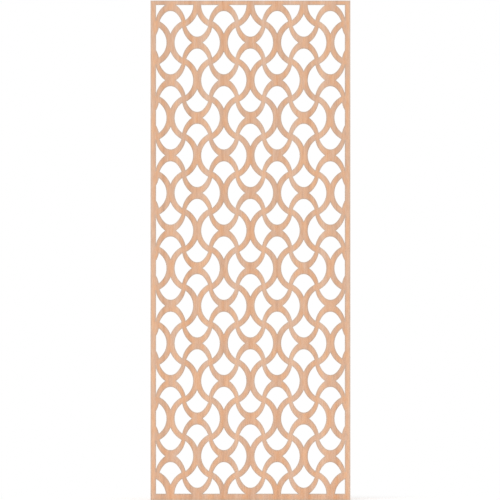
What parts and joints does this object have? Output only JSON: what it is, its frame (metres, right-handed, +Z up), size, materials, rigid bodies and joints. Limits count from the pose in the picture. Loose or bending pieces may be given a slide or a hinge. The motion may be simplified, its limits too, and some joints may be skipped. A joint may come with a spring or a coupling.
{
  "type": "fretwork panel",
  "caption": "Flat upright plywood screen panel cut through with a traditional pattern of linked rings and crescents inside a narrow plain border, for filling a partition, frame or wall bay.",
  "frame": {"origin": "middle of the bottom edge, halfway through the sheet's thickness", "axes": "+X to the right seen from the show face, +Y from the show face to the back, +Z up the panel along the face grain"},
  "size_m": [0.6, 0.012, 1.5],
  "materials": {
    "face_veneer": "clear matt lacquer over straight-grained reddish hardwood veneer, grain upright",
    "core_crosswise": "bare sawn edge of a core ply with its grain lying across the panel",
    "core_lengthwise": "bare sawn edge of a core ply with its grain upright",
    "backing_veneer": "clear matt lacquer over a plainer balancing veneer, grain upright"
  },
  "bodies": {
    "root": {"front_veneer": "face_veneer", "core_ply_1": "core_crosswise", "core_ply_2": "core_lengthwise", "core_ply_3": "core_crosswise", "core_ply_4": "core_lengthwise", "core_ply_5": "core_crosswise", "core_ply_6": "core_lengthwise", "core_ply_7": "core_crosswise", "core_ply_8": "core_lengthwise", "core_ply_9": "core_crosswise", "back_veneer": "backing_veneer"}
  },
  "joints": []
}
